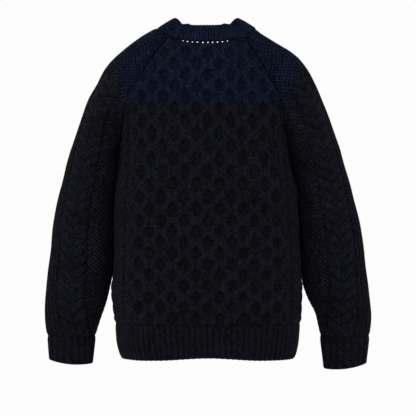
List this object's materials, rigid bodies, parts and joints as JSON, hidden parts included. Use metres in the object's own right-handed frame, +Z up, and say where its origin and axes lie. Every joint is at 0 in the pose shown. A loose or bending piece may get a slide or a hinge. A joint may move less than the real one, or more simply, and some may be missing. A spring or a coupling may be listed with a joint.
{
  "type": "cable-knit cardigan",
  "caption": "Heavy cable-knit wool cardigan with raglan sleeves, ribbed collar, cuffs and hem, and a buttoned front, filled out as if worn",
  "frame": {"origin": "middle of the neck opening, level with the collar's seam at the centre back", "axes": "+Z up towards the collar, +X to the wearer's left, -Y out of the buttoned front"},
  "size_m": [0.6891, 0.2732, 0.7426],
  "materials": {
    "black_wool": "matt bulky black wool",
    "navy_wool": "matt bulky navy wool",
    "button_horn": "smooth dark horn-like buttons"
  },
  "bodies": {
    "root": {"back": "black_wool", "front_left": "black_wool", "front_right": "black_wool", "sleeve_left": "black_wool", "sleeve_right": "black_wool", "cuff_left": "black_wool", "cuff_right": "black_wool", "hem_back": "black_wool", "hem_front_left": "black_wool", "hem_front_right": "black_wool", "collar": "navy_wool", "band_left": "black_wool", "band_right": "black_wool", "button_1": "button_horn", "button_2": "button_horn", "button_3": "button_horn", "button_4": "button_horn", "button_5": "button_horn", "button_6": "button_horn"}
  },
  "joints": []
}
